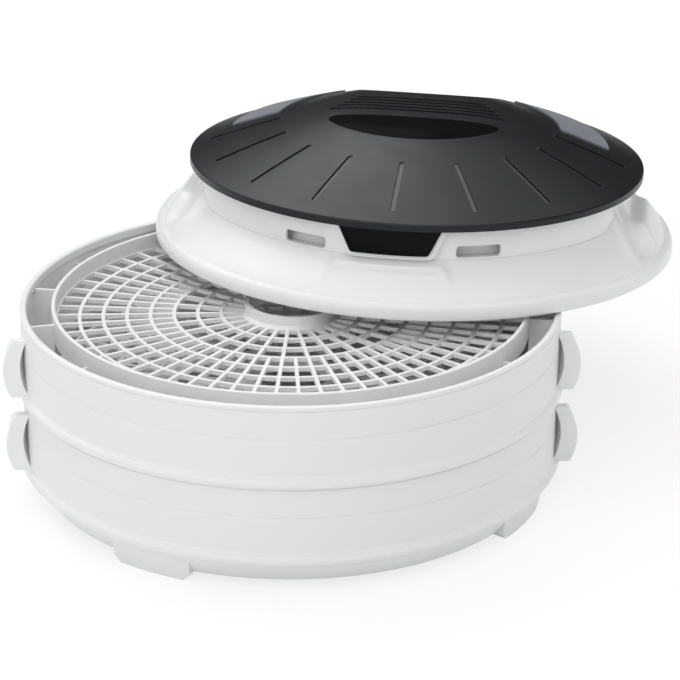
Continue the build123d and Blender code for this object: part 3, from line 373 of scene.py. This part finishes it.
def seen_directly(tree):
    """1 for camera, glossy and transmission rays, and 0 for the light that falls on things."""
    path = tree.nodes.new("ShaderNodeLightPath")
    total = path.outputs["Is Camera Ray"]
    for ray_kind in ("Is Glossy Ray", "Is Transmission Ray"):
        total = math_node(tree, "MAXIMUM", total, path.outputs[ray_kind])
    return total


# Floor: white to the camera, with the object's shadow kept, and wholly white further away
FLOOR = 6.0
FLOOR_COLOUR = (0.86, 0.86, 0.86)
FLOOR_ROUGH = 0.8
FLOOR_GLOW = 1.08
FLOOR_REACH = (0.5, 1.6)
FLOOR_SHARE = (0.7, 1.0)
floor_mesh = bpy.data.meshes.new("floor")
floor_corners = [(-FLOOR, -FLOOR, 0), (FLOOR, -FLOOR, 0), (FLOOR, FLOOR, 0), (-FLOOR, FLOOR, 0)]
floor_mesh.from_pydata(floor_corners, [], [(0, 1, 2, 3)])
floor = bpy.data.objects.new("floor", floor_mesh)
scene.collection.objects.link(floor)
floor_material, floor_tree, floor_shader = new_material("floor_white")
floor_shader.inputs["Base Color"].default_value = (*FLOOR_COLOUR, 1)
floor_shader.inputs["Roughness"].default_value = FLOOR_ROUGH
floor_glow = floor_tree.nodes.new("ShaderNodeEmission")
floor_glow.inputs["Strength"].default_value = FLOOR_GLOW
from_middle = floor_tree.nodes.new("ShaderNodeVectorMath")
from_middle.operation = "LENGTH"
floor_tree.links.new(object_coords(floor_tree), from_middle.inputs[0])
level_node, floor_level = map_range(floor_tree, from_middle.outputs["Value"], FLOOR_REACH, FLOOR_SHARE)
level_node.interpolation_type = "SMOOTHSTEP"
floor_share = math_node(floor_tree, "MULTIPLY", seen_directly(floor_tree), floor_level)
floor_shaders = (floor_shader.outputs["BSDF"], floor_glow.outputs["Emission"])
floor_surface = mix_shaders(floor_tree, floor_share, *floor_shaders)
floor_tree.links.new(floor_surface, floor_tree.nodes["Material Output"].inputs["Surface"])
floor_mesh.materials.append(floor_material)

# World: soft fill, and a white background to camera, glossy and transmission rays
FILL_STRENGTH = 0.42
world = bpy.data.worlds.new("studio")
scene.world = world
world.use_nodes = True
world_tree = world.node_tree
world_tree.nodes.clear()
skies = []
for strength in (FILL_STRENGTH, 1.0):
    sky = world_tree.nodes.new("ShaderNodeBackground")
    sky.inputs["Color"].default_value = (1, 1, 1, 1)
    sky.inputs["Strength"].default_value = strength
    skies.append(sky.outputs["Background"])
world_output = world_tree.nodes.new("ShaderNodeOutputWorld")
world_tree.links.new(mix_shaders(world_tree, seen_directly(world_tree), *skies), world_output.inputs["Surface"])

# Lights: five soft boxes, each with its place, its width and height in metres, and its power in watts
LIGHT_AIM = (0, 0, 0.1)
LIGHTS = {
    "key": ((-0.9, 1.53, 2.89), (2.88, 2.16), 44.0),
    "front": ((-1.4, -1.7, 0.8), (1.4, 1.2), 6.0),
    "right": ((2.0, 0.5, 0.6), (1.0, 1.0), 6.5),
    "top": ((0.0, -0.54, 3.52), (3.24, 3.24), 24.6),
    "middle": ((-0.4, -1.5, 1.7), (1.6, 1.2), 7.5),
}
for name, (place, size, power) in LIGHTS.items():
    lamp = bpy.data.lights.new(name, "AREA")
    lamp.shape = "RECTANGLE"
    lamp.size, lamp.size_y = size
    lamp.energy = power
    holder = bpy.data.objects.new(name, lamp)
    scene.collection.objects.link(holder)
    aim_turn = (Vector(LIGHT_AIM) - Vector(place)).to_track_quat("-Z", "Y")
    holder.matrix_world = Matrix.Translation(place) @ aim_turn.to_matrix().to_4x4()

# Dark upright panels behind and on the right, for reflections only: start and stop on the floor, and height
FLAG_COLOUR = (0.03, 0.03, 0.03)
FLAG_ROUGH = 0.9
FLAG_FOOT = 0.02
FLAGS = {
    "flag_back": ((-1.8, 1.7), (0.3, 1.7), 1.0),
    "flag_corner": ((0.3, 1.7), (1.6, 1.7), 1.7),
    "flag_right": ((1.6, 1.7), (1.6, -1.2), 2.2),
}
flag_material, flag_tree, flag_shader = new_material("flag_black")
flag_shader.inputs["Base Color"].default_value = (*FLAG_COLOUR, 1)
flag_shader.inputs["Roughness"].default_value = FLAG_ROUGH
for name, (start, stop, height) in FLAGS.items():
    flag_mesh = bpy.data.meshes.new(name)
    flag_corners = [(*start, FLAG_FOOT), (*stop, FLAG_FOOT), (*stop, height), (*start, height)]
    flag_mesh.from_pydata(flag_corners, [], [(0, 1, 2, 3)])
    flag_mesh.materials.append(flag_material)
    panel = bpy.data.objects.new(name, flag_mesh)
    scene.collection.objects.link(panel)
    panel.visible_camera = False
    panel.visible_diffuse = False
    panel.visible_transmission = False
    panel.visible_shadow = False

# Camera: the photograph's place and framing
RIM_CENTRE = Vector((0, 0, 0.116))
CAMERA_AZIMUTH = -2.0
CAMERA_ELEVATION = 21.65
CAMERA_DISTANCE = 1.485
FOCAL_PIXELS = 2427.0
FRAME_PIXELS = 680.0
RIM_PIXEL = (291.2, 297.1)
SENSOR = 36.0
level_reach = cos(radians(CAMERA_ELEVATION))
outward = Vector(
    (
        sin(radians(CAMERA_AZIMUTH)) * level_reach,
        -cos(radians(CAMERA_AZIMUTH)) * level_reach,
        sin(radians(CAMERA_ELEVATION)),
    )
)
pan = atan((FRAME_PIXELS / 2 - RIM_PIXEL[0]) / FOCAL_PIXELS)
tip = atan((FRAME_PIXELS / 2 - RIM_PIXEL[1]) / FOCAL_PIXELS)
lens = bpy.data.cameras.new("camera")
lens.sensor_width = SENSOR
lens.lens = FOCAL_PIXELS / FRAME_PIXELS * SENSOR
camera = bpy.data.objects.new("camera", lens)
scene.collection.objects.link(camera)
look = (-outward).to_track_quat("-Z", "Y").to_matrix().to_4x4()
aim = look @ Matrix.Rotation(-pan, 4, "Y") @ Matrix.Rotation(-tip, 4, "X")
camera.matrix_world = Matrix.Translation(RIM_CENTRE + CAMERA_DISTANCE * outward) @ aim
scene.camera = camera
scene.view_settings.view_transform = "Standard"
